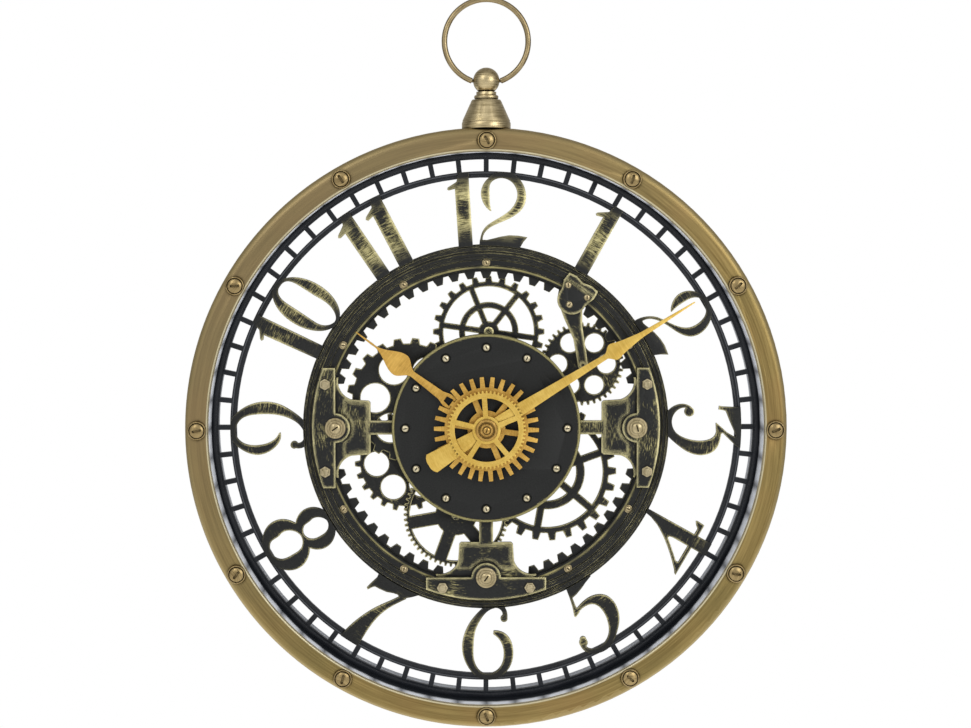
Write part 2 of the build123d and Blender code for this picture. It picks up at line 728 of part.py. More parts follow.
with BuildPart() as frame_ring:
    add(
        dial_ring(
            [
                (FRAME_INNER_R, TRACK_BACK),
                (FRAME_R, TRACK_BACK),
                (FRAME_R, TRACK_FRONT),
                (164.6, TRACK_FRONT),
                (164.4, -24.0),
                (163.6, -24.6),
                (162.8, -24.2),
                (162.2, -23.4),
                (160.4, -23.4),
                (160.1, -21.6),
                (158.2, -21.6),
                (157.9, -23.6),
                (155.4, -23.6),
                (154.4, -24.7),
                (152.6, -24.7),
                (151.8, FRAME_SCREW_Y),
                (147.0, FRAME_SCREW_Y),
                (146.4, -24.2),
                (144.4, -24.2),
                (FRAME_INNER_R, FRAME_SCREW_Y),
            ]
        )
    )
    ring_holes = [(FRAME_SCREW_R, angle) for angle in FRAME_SCREW_ANGLES] + SHIELD_SCREWS[:2]
    add(screw_holes(FRAME_SCREW_SHANK, ring_holes, -17, -26), mode=Mode.SUBTRACT)
    # spot faces for the washers
    add(screw_holes(3.8, ring_holes[: len(FRAME_SCREW_ANGLES)], FRAME_SCREW_Y, -26), mode=Mode.SUBTRACT)
    for angle in BRIDGE_ANGLES:
        with BuildSketch(dial_plane(-17, angle)):
            with Locations((-STUD_X, STUD_R), (STUD_X, STUD_R)):
                Circle(FRAME_SCREW_SHANK)
        extrude(amount=9, mode=Mode.SUBTRACT)
finish(frame_ring, "frame_ring")

with BuildPart() as toothed_ring:
    with BuildSketch(dial_plane(-14.5)):
        Circle(153)
        add(toothed_disk(60, TOOTH_ROOT_R, TOOTH_TIP_R, 0.68, 0.38), mode=Mode.SUBTRACT)
    extrude(amount=3.5)
    add(screw_holes(FRAME_SCREW_SHANK, ring_holes, -14, -19), mode=Mode.SUBTRACT)
    for angle in BRIDGE_ANGLES:
        with BuildSketch(dial_plane(-14, angle)):
            with Locations((-STUD_X, STUD_R), (STUD_X, STUD_R)):
                Circle(FRAME_SCREW_SHANK)
        extrude(amount=5, mode=Mode.SUBTRACT)
finish(toothed_ring, "toothed_ring")

with BuildPart() as frame_screws:
    frame_washer = washer(3.7, FRAME_SCREW_SHANK, 0.7)
    frame_screw = slotted_screw(2.5, 1.5, 0.6, FRAME_SCREW_SHANK, 8.5, 0.8)
    for number, angle in enumerate(FRAME_SCREW_ANGLES):
        with Locations(spot(FRAME_SCREW_Y, FRAME_SCREW_R, angle)):
            add(frame_washer)
        with Locations(spot(FRAME_SCREW_Y - 0.7, FRAME_SCREW_R, angle, SLOT_TURNS[number])):
            add(frame_screw)
    # the shield's three screws are the same kind, without washers
    with Locations(*[spot(SHIELD_FRONT, r, angle, 40 + 3 * r) for r, angle in SHIELD_SCREWS]):
        add(slotted_screw(2.7, 1.5, 0.6, FRAME_SCREW_SHANK, 3.7, 0.9))
finish(frame_screws, "frame_screws")

# ---------------------------------------------------------------- bridges and straps

BRIDGE_PLATE_HALF = 45.5
ARM_WIDTH = 12.6
ARM_INNER_R = 44.0
STANDOFF_R = 48.0

with BuildSketch() as bridge_outline:
    with BuildLine():
        flare = ThreePointArc((BRIDGE_PLATE_HALF, 133.7), (31.5, 130.6), (25.5, 122))
        Polyline(
            flare @ 1,
            (25, 115.5),
            (24.5, 106.5),
            (22.8, 104.7),
            (ARM_WIDTH / 2, 104.7),
            (ARM_WIDTH / 2, ARM_INNER_R),
            (0, ARM_INNER_R),
        )
        Polyline(flare @ 0, (BRIDGE_PLATE_HALF, 135.6), (28, 140.2), (0, 140.2))
        mirror(about=Plane.YZ)
    make_face()

with BuildPart() as bridges:
    for angle in BRIDGE_ANGLES:
        with BuildSketch(dial_plane(BRIDGE_BACK, angle)):
            add(bridge_outline.sketch)
            with Locations((0, STRAP_SCREW_R)):
                Circle(2.5, mode=Mode.SUBTRACT)
            with Locations((0, STANDOFF_R)):
                Circle(1.5, mode=Mode.SUBTRACT)
        extrude(amount=BRIDGE_BACK - BRIDGE_FRONT)
        # raised panel on the bridge's face
        with BuildSketch(dial_plane(BRIDGE_FRONT, angle)):
            with BuildLine():
                panel = Polyline((0, 107.4), (21.8, 107.4), (22.3, 121.5), (26.5, 128.5), (0, 128.5))
                mirror(panel, about=Plane.YZ)
            make_face()
            with Locations((0, STRAP_SCREW_R)):
                Circle(16, mode=Mode.SUBTRACT)
        extrude(amount=0.8, taper=20)
finish(bridges, "bridges")

STRAP_OUTER_R = 157.2
STRAP_CHORD = 136.4
STRAP_HALF = 54.5
BOSS_FACE = -29.4

with BuildPart() as straps:
    for angle in BRIDGE_ANGLES:
        with BuildSketch(dial_plane(BRIDGE_FRONT, angle)):
            Circle(STRAP_OUTER_R)
            with Locations((0, (STRAP_CHORD + 160) / 2)):
                Rectangle(2 * STRAP_HALF, 160 - STRAP_CHORD, mode=Mode.INTERSECT)
            with Locations((0, STRAP_SCREW_R)):
                Circle(13.3)
                Circle(2.5, mode=Mode.SUBTRACT)
            with Locations((-STUD_X, STUD_R), (STUD_X, STUD_R)):
                Circle(FRAME_SCREW_SHANK, mode=Mode.SUBTRACT)
        extrude(amount=BRIDGE_FRONT - STRAP_FRONT)
finish(straps, "straps")

with BuildPart() as strap_screws:
    wide_washer = washer(9.4, 2.5, 1.2)
    narrow_washer = washer(7.0, 2.5, 1.1)
    strap_screw = slotted_screw(4.8, 2.4, 1.0, 2.5, 12, 1.3)
    for angle, turn in zip(BRIDGE_ANGLES, (15, 55, 125)):
        with Locations(spot(STRAP_FRONT, STRAP_SCREW_R, angle)):
            add(wide_washer)
        with Locations(spot(STRAP_FRONT - 1.2, STRAP_SCREW_R, angle)):
            add(narrow_washer)
        with Locations(spot(STRAP_FRONT - 2.3, STRAP_SCREW_R, angle, turn)):
            add(strap_screw)
finish(strap_screws, "strap_screws")

with BuildPart() as strap_studs:
    with BuildPart(mode=Mode.PRIVATE) as stud:
        with BuildSketch():
            RegularPolygon(5.2, 6)
        extrude(amount=1.6)
        chamfer(stud.faces().sort_by(Axis.Z)[-1].edges(), 0.4)
        with Locations((0, 0, 1.6)):
            Cylinder(3.0, 1.0, align=(Align.CENTER, Align.CENTER, Align.MIN))
        fillet(stud.faces().sort_by(Axis.Z)[-1].edges(), 0.8)
        Cylinder(FRAME_SCREW_SHANK, 12, align=(Align.CENTER, Align.CENTER, Align.MAX))
    for angle in BRIDGE_ANGLES:
        for side in (-1, 1):
            place = dial_plane(STRAP_FRONT, angle).location * Location((side * STUD_X, STUD_R, 0))
            with Locations(place):
                add(stud.part)
finish(strap_studs, "strap_studs")

# ---------------------------------------------------------------- shield and cock

COCK_FRONT = -24.8
COCK_BACK = -23.2
GEAR_F_RAY = (104.4, 57.1)  # radius and clock angle of the small gear the cock holds

with BuildPart() as shield_plate:
    with BuildSketch(dial_plane(SHIELD_BACK, SHIELD_ANGLE)):
        with BuildLine():
            Polyline((-13.2, 141), (-14, 145), (-16.2, 150.4), (-15.6, 158.6), (-8, 159.6))
            Polyline((-8, 159.6), (0, 157.6), (8, 159.6), (15.6, 158.6), (16.2, 150.4), (14, 145), (13.2, 141))
            ThreePointArc((13.2, 141), (0, 126.2), (-13.2, 141))
        make_face()
    extrude(amount=SHIELD_BACK - SHIELD_FRONT)
    with BuildSketch(dial_plane(SHIELD_FRONT, SHIELD_ANGLE)):
        with Locations((0, 152.6)):
            Rectangle(27, 1.2)
    extrude(amount=0.6)
    add(screw_holes(FRAME_SCREW_SHANK, SHIELD_SCREWS, -22, -28), mode=Mode.SUBTRACT)
finish(shield_plate, "shield_plate")

cock_root = clock_point(139.5, SHIELD_ANGLE)
cock_tip = clock_point(*GEAR_F_RAY)

with BuildPart() as cock:
    with BuildSketch(dial_plane(COCK_BACK)):
        with BuildLine():
            Polyline(
                (cock_root[0] - 11.5, cock_root[1] - 4.5),
                (cock_root[0] - 7.0, cock_root[1] - 17),
                (cock_root[0] + 1.5, cock_root[1] - 36),
                (cock_tip[0] - 4.6, cock_tip[1] - 0.6),
            )
            ThreePointArc(
                (cock_tip[0] - 4.6, cock_tip[1] - 0.6),
                (cock_tip[0] + 0.6, cock_tip[1] - 4.6),
                (cock_tip[0] + 4.6, cock_tip[1] + 0.6),
            )
            Polyline(
                (cock_tip[0] + 4.6, cock_tip[1] + 0.6),
                (cock_root[0] + 9.5, cock_root[1] - 24),
                (cock_root[0] + 9.5, cock_root[1] - 9),
                (cock_root[0] - 11.5, cock_root[1] - 4.5),
            )
        make_face()
        with Locations(cock_tip):
            Circle(2.0, mode=Mode.SUBTRACT)
    extrude(amount=COCK_BACK - COCK_FRONT)
    add(screw_holes(FRAME_SCREW_SHANK, SHIELD_SCREWS[2:], -22, -28), mode=Mode.SUBTRACT)
finish(cock, "cock")

# ---------------------------------------------------------------- display gears

POST_R = 2.6


def display_gear(label, centre, rear, body, windows):
    """A fixed display gear: its toothed body, less its windows, its bore and the movement's room."""
    back = CARRIER_FRONT if rear else FRONT_GEAR_BACK
    front = REAR_GEAR_FRONT if rear else FRONT_GEAR_FRONT
    with BuildPart() as gear:
        with BuildSketch(dial_plane(back)):
            with Locations(centre):
                add(body)
                add(windows, mode=Mode.SUBTRACT)
                Circle(POST_R, mode=Mode.SUBTRACT)
            Circle(GEAR_CUT_R, mode=Mode.SUBTRACT)
        extrude(amount=back - front)
    finish(gear, label)


def spoked_windows(rim_inner, ring_outer, ring_inner, hub, count, width, phase):
    """The openings of a wheel: rim to inner ring, and inner ring to hub, crossed by spokes."""
    with BuildSketch() as windows:
        Circle(rim_inner)
        if ring_outer:
            Circle(ring_outer, mode=Mode.SUBTRACT)
            Circle(ring_inner)
        Circle(hub, mode=Mode.SUBTRACT)
        add(spokes(count, width, rim_inner + 1, phase), mode=Mode.SUBTRACT)
    return windows.sketch


def round_windows(count, hole_r, pitch_r, phase):
    """A ring of round openings."""
    with BuildSketch() as windows:
        with Locations(*[clock_point(pitch_r, phase + number * 360 / count) for number in range(count)]):
            Circle(hole_r)
    return windows.sketch


GEARS = {
    "gear_top": ((2.5, 86.3), True),
    "gear_upper_left": ((-70.2, 24.4), False),
    "gear_lower_left": ((-73.8, -32.3), True),
    "gear_bottom": ((-27.2, -80.8), False),
    "gear_lower_right": ((56.1, -42.4), True),
    "gear_upper_right": (cock_tip, True),
}
display_gear(
    "gear_top",
    *GEARS["gear_top"],
    toothed_disk(24, 45.8, 50.8, 0.56, 0.34),
    spoked_windows(41.2, 27.1, 21.4, 9.5, 6, 5.4, -22),
)
display_gear(
    "gear_upper_left",
    *GEARS["gear_upper_left"],
    toothed_disk(21, 51.5, 56.5, 0.6, 0.38, 280.7),
    round_windows(6, 13.4, 30.6, 333.3),
)
display_gear(
    "gear_lower_left",
    *GEARS["gear_lower_left"],
    toothed_disk(24, 41.2, 45.9, 0.56, 0.34, 266.9),
    round_windows(6, 11.3, 26.1, 264.6),
)
display_gear(
    "gear_bottom",
    *GEARS["gear_bottom"],
    toothed_disk(60, 45.3, 48.0, 0.6, 0.3),
    spoked_windows(42.4, 0, 0, 19, 6, 12, 200),
)
display_gear(
    "gear_lower_right",
    *GEARS["gear_lower_right"],
    toothed_disk(25, 56.3, 63.1, 0.56, 0.34, 89.2),
    spoked_windows(50.8, 34.3, 26.5, 10, 6, 6.9, 70),
)
display_gear(
    "gear_upper_right",
    *GEARS["gear_upper_right"],
    toothed_disk(40, 34.8, 38.0, 0.6, 0.3),
    round_windows(6, 8.6, 22.2, 30),
)

with BuildPart() as gear_posts:
    for label, (centre, rear) in GEARS.items():
        held_by_cock = label == "gear_upper_right"
        back = CARRIER_FRONT if held_by_cock else CARRIER_BACK
        front = REAR_GEAR_FRONT if rear else FRONT_GEAR_FRONT
        add(rod(POST_R, back, front - 0.1, *centre))
        if held_by_cock:
            add(rod(4.2, front, COCK_BACK, *centre))
            add(rod(2.0, COCK_BACK, COCK_FRONT, *centre))
        else:
            # heads on the rear gears stay flat, to pass behind the front gears
            height, edge = (0.8, 0.4) if rear else (2.2, 1.0)
            with Locations(dial_plane(front).location * Location((*centre, 0), (0, 0, 35))):
                add(slotted_screw(4.4, height, edge, POST_R, 1, 1.1))
        if not rear:
            add(rod(6, CARRIER_FRONT, FRONT_GEAR_BACK, *centre))
finish(gear_posts, "gear_posts")

with BuildPart() as carrier_plate:
    with BuildSketch(dial_plane(CARRIER_BACK)):
        Circle(80)
        with Locations(GEARS["gear_top"][0], GEARS["gear_bottom"][0]):
            Circle(8)
        Circle(44, mode=Mode.SUBTRACT)
        with Locations(*[centre for label, (centre, _) in GEARS.items() if label != "gear_upper_right"]):
            Circle(POST_R, mode=Mode.SUBTRACT)
        with Locations(*[clock_point(STANDOFF_R, angle) for angle in BRIDGE_ANGLES]):
            Circle(1.5, mode=Mode.SUBTRACT)
    extrude(amount=CARRIER_BACK - CARRIER_FRONT)
    for angle in BRIDGE_ANGLES:
        with BuildSketch(dial_plane(CARRIER_FRONT, angle)):
            with Locations((0, STANDOFF_R)):
                Circle(3.2)
        extrude(amount=CARRIER_FRONT - BRIDGE_BACK)
finish(carrier_plate, "carrier_plate")

# ---------------------------------------------------------------- centre disk

with BuildPart() as centre_disk:
    add(
        dial_ring(
            [
                (BUSHING_R + SLIP, DISK_BACK),
                (BUSHING_R + SLIP, DISK_FRONT),
                (DISK_RIM_R, DISK_FRONT),
                (DISK_RIM_R + 0.4, DISK_FRONT - 0.9),
                (DISK_R - 0.5, DISK_FRONT - 0.9),
                (DISK_R, DISK_FRONT - 0.2),
                (DISK_R, BRIDGE_FRONT),
                (DISK_RIM_R, BRIDGE_FRONT),
                (DISK_RIM_R, DISK_BACK),
            ]
        )
    )
    add(
        screw_holes(FRAME_SCREW_SHANK, [(DISK_SCREW_R, a) for a in BEZEL_ANGLES], -27, -32),
        mode=Mode.SUBTRACT,
    )
finish(centre_disk, "centre_disk")

with BuildPart() as disk_screws:
    for number, angle in enumerate(BEZEL_ANGLES):
        with Locations(spot(DISK_FRONT, DISK_SCREW_R, angle)):
            add(washer(4.4, FRAME_SCREW_SHANK, 0.8))
        with Locations(spot(DISK_FRONT - 0.8, DISK_SCREW_R, angle, SLOT_TURNS[-number])):
            add(slotted_screw(2.8, 1.6, 0.6, FRAME_SCREW_SHANK, 4.6, 0.9))
finish(disk_screws, "disk_screws")

# ---------------------------------------------------------------- movement

BATTERY_R = 7.1
BATTERY_Z = -18.3
BATTERY_Y = -19.2
BATTERY_LENGTH = 50.0
CASE_INNER = CASE_SIZE - 2 * CASE_WALL
SET_KNOB_R = 6.0
COIL_X = -19.5
COIL_Y = -21.0
COIL_Z = DIAL_Z + 10
BOARD_X = 18.5
BOARD_Y = -14.5
COVER_T = 1.2

with BuildPart() as movement_case:
    with BuildSketch(dial_plane(CASE_BACK)):
        RectangleRounded(CASE_SIZE, CASE_SIZE, 3)
    extrude(amount=CASE_BACK - DISK_BACK)
    with BuildSketch(dial_plane(CASE_BACK)):
        RectangleRounded(CASE_INNER, CASE_INNER, 2)
    extrude(amount=CASE_BACK - DISK_BACK - CASE_WALL, mode=Mode.SUBTRACT)
    with BuildSketch(dial_plane(DISK_BACK)):
        Circle(BUSHING_R)
    extrude(amount=6.2)
    with BuildSketch(dial_plane(CASE_BACK)):
        Circle(HOUR_TUBE_R + RUN)
    extrude(amount=40, mode=Mode.SUBTRACT)
finish(movement_case, "movement_case")

with BuildPart() as movement_cover:
    with BuildSketch(dial_plane(CASE_BACK + COVER_T)):
        RectangleRounded(CASE_SIZE, CASE_SIZE, 3)
        with Locations((0, BATTERY_Z)):
            RectangleRounded(51.5, 15.2, 2, mode=Mode.SUBTRACT)
        with Locations((0, SET_OFFSET)):
            Circle(1.5 + RUN, mode=Mode.SUBTRACT)
    extrude(amount=COVER_T)
    with BuildSketch(dial_plane(CASE_BACK)):
        Circle(3.4)
        Circle(1.2 + RUN, mode=Mode.SUBTRACT)
    extrude(amount=2.0)
finish(movement_cover, "movement_cover")

with BuildPart() as bushing_nut:
    with BuildSketch(dial_plane(DISK_FRONT)):
        RegularPolygon(8.0, 6)
        Circle(BUSHING_R, mode=Mode.SUBTRACT)
    extrude(amount=2.4)
finish(bushing_nut, "bushing_nut")

with BuildPart() as battery:
    with BuildSketch(Plane.YZ.offset(-BATTERY_LENGTH / 2)):
        with Locations((BATTERY_Y, DIAL_Z + BATTERY_Z)):
            Circle(BATTERY_R)
    extrude(amount=BATTERY_LENGTH - 1.5)
    with BuildSketch(Plane.YZ.offset(BATTERY_LENGTH / 2 - 1.5)):
        with Locations((BATTERY_Y, DIAL_Z + BATTERY_Z)):
            Circle(2.7)
    extrude(amount=1.5)
finish(battery, "battery")

with BuildPart() as motor_coil:
    with Locations((COIL_X, COIL_Y, COIL_Z)):
        Cylinder(3.8, 17)
    with Locations((COIL_X, COIL_Y, COIL_Z - 9.5), (COIL_X, COIL_Y, COIL_Z + 9.5)):
        Box(9.5, 9, 2)
finish(motor_coil, "motor_coil")

with BuildPart() as circuit_board:
    with Locations((BOARD_X, BOARD_Y, DIAL_Z + 11)):
        Box(15, 1.2, 24)
    with Locations((BOARD_X, BOARD_Y - 1.6, DIAL_Z + 6)):
        Box(6, 2, 6)
    with Locations((BOARD_X, BOARD_Y - 1.9, DIAL_Z + 16)):
        Cylinder(1.3, 8)
    # the battery's two contact plates
    with Locations((-26.1, BATTERY_Y, DIAL_Z + BATTERY_Z), (26.1, BATTERY_Y, DIAL_Z + BATTERY_Z)):
        Box(0.4, 9, 11)
finish(circuit_board, "circuit_board")

# ---------------------------------------------------------------- motion work and hands

MINUTE_MODULE = 0.5
HOUR_MODULE = 0.48
CANNON_TEETH = 12
SET_WHEEL_TEETH = 36
SET_PINION_TEETH = 10
HOUR_TEETH = 40
HOUR_WHEEL_FRONT = -26.2
HOUR_WHEEL_BACK = -24.6
SET_WHEEL_FRONT = -22.8
SET_WHEEL_BACK = -21.4


def motion_gear(teeth, module, phase):
    """A small working gear whose teeth leave backlash on both flanks."""
    pitch_r = teeth * module / 2
    return toothed_disk(teeth, pitch_r - 1.1 * module, pitch_r + 0.8 * module, 0.52, 0.22, phase)


with BuildPart() as minute_arbor:
    add(rod(1.2, -11.8, -14))
    add(rod(ARBOR_R, -14, MINUTE_WHEEL_FRONT - 2.0))
    add(plate(motion_gear(CANNON_TEETH, MINUTE_MODULE, 0), SET_WHEEL_BACK + 0.4, SET_WHEEL_FRONT - 0.4))
finish(minute_arbor, "minute_arbor")

with BuildPart() as hour_tube:
    add(plate(motion_gear(HOUR_TEETH, HOUR_MODULE, 0), HOUR_WHEEL_BACK, HOUR_WHEEL_FRONT))
    add(rod(HOUR_TUBE_R, HOUR_WHEEL_FRONT, -39.5))
    add(rod(ARBOR_R + RUN, -20, -42), mode=Mode.SUBTRACT)
finish(hour_tube, "hour_tube")

with BuildPart() as set_arbor:
    add(rod(1.5, -6, -26.3, 0, SET_OFFSET))
    with BuildSketch(dial_plane(-5)):
        with Locations((0, SET_OFFSET)):
            add(toothed_disk(24, SET_KNOB_R - 0.5, SET_KNOB_R, 0.7, 0.4))
    extrude(amount=4.6)
    with BuildSketch(dial_plane(SET_WHEEL_BACK)):
        with Locations((0, SET_OFFSET)):
            add(motion_gear(SET_WHEEL_TEETH, MINUTE_MODULE, 5))
    extrude(amount=SET_WHEEL_BACK - SET_WHEEL_FRONT)
    with BuildSketch(dial_plane(HOUR_WHEEL_BACK + 0.3)):
        with Locations((0, SET_OFFSET)):
            add(motion_gear(SET_PINION_TEETH, HOUR_MODULE, 18))
    extrude(amount=HOUR_WHEEL_BACK - HOUR_WHEEL_FRONT + 0.3)
finish(set_arbor, "set_arbor")

with BuildPart() as hour_gear:
    with BuildSketch(dial_plane(HOUR_GEAR_BACK, HOUR_ANGLE)):
        add(toothed_disk(30, 37.7, 47.2, 0.56, 0.36))
        with BuildSketch(mode=Mode.SUBTRACT):
            Circle(30.5)
            Circle(17, mode=Mode.SUBTRACT)
            add(spokes(6, 5.0, 32, -22 - HOUR_ANGLE), mode=Mode.SUBTRACT)
        Circle(HOUR_TUBE_R, mode=Mode.SUBTRACT)
        # no tooth behind the opening in the hour hand
        add(outline([(-3.6, 39.6), (3.6, 39.6), (2.6, 47.6), (-2.6, 47.6)]), mode=Mode.SUBTRACT)
    extrude(amount=HOUR_GEAR_BACK - HOUR_GEAR_FRONT)
finish(hour_gear, "hour_gear")

with BuildPart() as hour_hand:
    with BuildSketch(dial_plane(HOUR_GEAR_BACK + 1.2, HOUR_ANGLE)):
        with BuildLine():
            leaf = Spline((1.0, 128), (1.9, 119), (5.3, 111.5), (9.8, 102), (10.3, 95), (5.2, 88), (2.6, 83.5))
            Polyline((0, 146.5), (0.5, 146), leaf @ 0)
            Polyline(leaf @ 1, (4.0, 51.5), (6.2, 44.5), (6.4, 34), (0, 34))
            mirror(about=Plane.YZ)
        make_face()
        with BuildLine():
            Polyline((-2.6, 46.2), (2.6, 46.2), (3.6, 39.6), (-3.6, 39.6), close=True)
        make_face(mode=Mode.SUBTRACT)
    extrude(amount=1.2)
finish(hour_hand, "hour_hand")

with BuildPart() as minute_hand:
    with BuildSketch(dial_plane(MINUTE_HAND_BACK, MINUTE_ANGLE)):
        with BuildLine():
            bulb = Spline((2.4, 126), (4.5, 128.8), (7.6, 132.6), (6.6, 139), (4.2, 151), (2.3, 167))
            Polyline((0, 219), (0.5, 218.6), (1.7, 186), bulb @ 1)
            Polyline(bulb @ 0, (2.4, 125), (5.6, 39), (5.6, -11), (9.3, -57.5))
            ThreePointArc((9.3, -57.5), (6, -60.0), (0, -60.8))
            mirror(about=Plane.YZ)
        make_face()
        Circle(ARBOR_R, mode=Mode.SUBTRACT)
    extrude(amount=MINUTE_HAND_BACK - MINUTE_HAND_FRONT)
finish(minute_hand, "minute_hand")

with BuildPart() as minute_wheel:
    with BuildSketch(dial_plane(MINUTE_HAND_FRONT)):
        add(toothed_disk(60, 33.2, 35.4, 0.6, 0.3))
        with BuildSketch(mode=Mode.SUBTRACT):
            Circle(28.6)
            Circle(12.6, mode=Mode.SUBTRACT)
            add(spokes(5, 4.6, 30, -4), mode=Mode.SUBTRACT)
        Circle(ARBOR_R, mode=Mode.SUBTRACT)
    extrude(amount=MINUTE_HAND_FRONT - MINUTE_WHEEL_FRONT)
finish(minute_wheel, "minute_wheel")

with BuildPart() as hub_cap:
    cap = turned(
        [
            (ARBOR_R, 0),
            (9.9, 0),
            (9.9, 1.0),
            (8.8, 1.9),
            (7.6, 1.9),
            (7.2, 1.0),
            (6.3, 1.0),
            (6.0, 2.2),
            (5.3, 2.9),
            (3.9, 2.9),
            (3.6, 2.4),
            (3.2, 2.4),
            (3.1, 3.2),
            (2.5, 3.7),
            (1.4, 4.1),
            (0, 4.2),
            (0, 2.2),
            (ARBOR_R, 2.2),
        ]
    )
    with Locations(dial_plane(MINUTE_WHEEL_FRONT).location):
        add(cap)
    with BuildSketch(dial_plane(MINUTE_WHEEL_FRONT - 4.3, 20)):
        Rectangle(0.9, 7)
    extrude(amount=-1.1, mode=Mode.SUBTRACT)
finish(hub_cap, "hub_cap")
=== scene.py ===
"""Looks, light and camera for the pocket-watch skeleton wall clock."""

import math

import bpy
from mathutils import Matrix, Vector


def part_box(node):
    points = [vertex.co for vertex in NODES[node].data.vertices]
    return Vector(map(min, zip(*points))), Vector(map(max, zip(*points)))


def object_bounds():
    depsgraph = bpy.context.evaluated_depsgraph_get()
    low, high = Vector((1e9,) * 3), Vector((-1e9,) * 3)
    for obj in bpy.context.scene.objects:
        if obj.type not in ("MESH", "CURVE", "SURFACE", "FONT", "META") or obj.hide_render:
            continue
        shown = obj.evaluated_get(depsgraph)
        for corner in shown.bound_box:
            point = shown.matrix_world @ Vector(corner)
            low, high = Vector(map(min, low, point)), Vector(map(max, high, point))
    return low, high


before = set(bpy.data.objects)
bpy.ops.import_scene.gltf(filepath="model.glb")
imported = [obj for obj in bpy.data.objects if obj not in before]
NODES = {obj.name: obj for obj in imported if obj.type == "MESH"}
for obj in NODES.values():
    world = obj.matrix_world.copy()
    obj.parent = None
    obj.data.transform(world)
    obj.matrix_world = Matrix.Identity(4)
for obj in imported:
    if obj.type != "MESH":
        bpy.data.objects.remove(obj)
CAD_LOW, CAD_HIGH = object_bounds()

MM = 0.001

# Places read from the frame.
TRACK_LOW, TRACK_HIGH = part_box("minute_track")
DIAL = (TRACK_LOW + TRACK_HIGH) / 2  # centre of the dial
BOW_LOW, BOW_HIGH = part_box("bow")
BOW_CENTRE = Vector((0, (BOW_LOW.y + BOW_HIGH.y) / 2, BOW_HIGH.z - (BOW_HIGH.x - BOW_LOW.x) / 2))
BEZEL_LOW, BEZEL_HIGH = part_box("bezel")
LINER_LOW, LINER_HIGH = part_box("bezel_liner")
BEZEL_HOLE_R = LINER_HIGH.x  # the lining fills the bezel's opening
LINER_BACK = LINER_HIGH.y - DIAL.y
LINER_DEPTH = LINER_HIGH.y - LINER_LOW.y
TRACK_RIDGE_R = TRACK_HIGH.x - 18.8 * MM  # beside the groove in its inner band
DISK_RIM_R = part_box("centre_disk")[1].x - 2.4 * MM  # where the disk's rim begins
WASHER_R = 4.4 * MM
DISK_SCREW_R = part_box("disk_screws")[1].x - WASHER_R
FIGURE_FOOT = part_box("frame_ring")[1].x  # the figures stand on the frame ring
FRAME_BEAD_R = FIGURE_FOOT - 20.8 * MM  # the bead along the frame ring's inner edge
FIGURE_HEAD = TRACK_HIGH.x - 18.5 * MM  # they reach to the inner band of the track


# ---------------------------------------------------------------- meshes

EDGE = {  # width of the rounded edges, in mm, where it isn't the usual one
    "bezel": 0.6,
    "minute_track": 0.35,
    "crown_base": 0.35,
    "movement_case": 0.5,
    "movement_cover": 0.4,
}
USUAL_EDGE = 0.22
SMOOTH_ANGLE = math.radians(32)


def round_edges(name):
    """Merges the split corners of an imported node and rounds its sharp edges."""
    piece = NODES[name]
    for polygon in piece.data.polygons:
        polygon.use_smooth = True
    weld = piece.modifiers.new("weld", "WELD")
    weld.merge_threshold = 0.002 * MM
    flat = piece.modifiers.new("flat faces", "DECIMATE")
    flat.decimate_type = "DISSOLVE"
    flat.angle_limit = math.radians(0.4)
    bevel = piece.modifiers.new("edges", "BEVEL")
    bevel.width = EDGE.get(name, USUAL_EDGE) * MM
    bevel.segments = 2
    bevel.limit_method = "ANGLE"
    bevel.angle_limit = SMOOTH_ANGLE
    bevel.harden_normals = True


for node_name in NODES:
    round_edges(node_name)


# ------------------------------------------------------------- materials


HALF_HOUR = math.tau / 24  # half the angle between two hours on the dial
SCREW_R = 2.8 * MM  # the heads of the disk's screws


